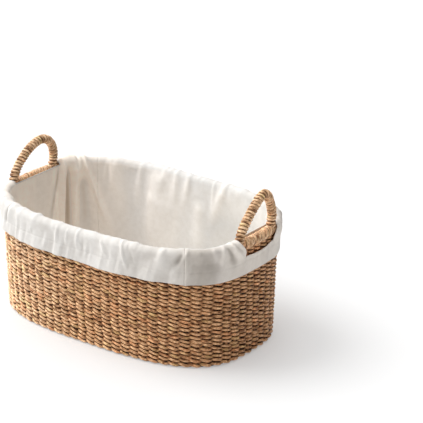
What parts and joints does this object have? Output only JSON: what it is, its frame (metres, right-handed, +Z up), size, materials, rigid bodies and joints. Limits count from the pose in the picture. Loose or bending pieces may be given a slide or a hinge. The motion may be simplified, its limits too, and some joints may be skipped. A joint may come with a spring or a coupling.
{
  "type": "woven laundry basket",
  "caption": "Oval twined basket on a wire frame, with wrapped bow handles and a lift-out cloth liner folded over the rim as a gathered cuff.",
  "frame": {"origin": "middle of the oval, on the floor under the base", "axes": "+X along the basket's length, +Y towards its back, +Z up"},
  "size_m": [0.585, 0.395, 0.328],
  "materials": {
    "iron_wire": "plain drawn wire, hidden in the weave",
    "seagrass": "twisted dry seagrass cord, matt, tan to brown",
    "seagrass_cord": "fine seagrass cord wound side by side, matt",
    "cotton": "unbleached plain-weave cotton, washed and slightly creased",
    "elastic": "flat woven elastic"
  },
  "bodies": {
    "basket": {"rim_ring": "iron_wire", "base_ring": "iron_wire", "upright_01": "iron_wire", "upright_02": "iron_wire", "upright_03": "iron_wire", "upright_04": "iron_wire", "upright_05": "iron_wire", "upright_06": "iron_wire", "upright_07": "iron_wire", "upright_08": "iron_wire", "upright_09": "iron_wire", "upright_10": "iron_wire", "upright_11": "iron_wire", "upright_12": "iron_wire", "upright_13": "iron_wire", "upright_14": "iron_wire", "upright_15": "iron_wire", "upright_16": "iron_wire", "upright_17": "iron_wire", "upright_18": "iron_wire", "upright_19": "iron_wire", "upright_20": "iron_wire", "upright_21": "iron_wire", "upright_22": "iron_wire", "upright_23": "iron_wire", "upright_24": "iron_wire", "base_bar_1": "iron_wire", "base_bar_2": "iron_wire", "base_bar_3": "iron_wire", "base_bar_4": "iron_wire", "base_bar_5": "iron_wire", "handle_core_left": "iron_wire", "handle_core_right": "iron_wire", "wall_weave": "seagrass", "base_weave": "seagrass", "rim_binding": "seagrass_cord", "handle_wrap_left": "seagrass_cord", "handle_wrap_right": "seagrass_cord"},
    "liner": {"lining_front": "cotton", "lining_back": "cotton", "lining_left_end": "cotton", "lining_right_end": "cotton", "liner_base": "cotton", "cuff_front": "cotton", "cuff_back": "cotton", "cuff_left_end": "cotton", "cuff_right_end": "cotton", "hem_elastic": "elastic"}
  },
  "joints": [
    {"name": "liner_lift", "type": "slide", "parent": "basket", "child": "liner", "axis": [0, 0, 1], "range_m": [0, 0.36]}
  ]
}
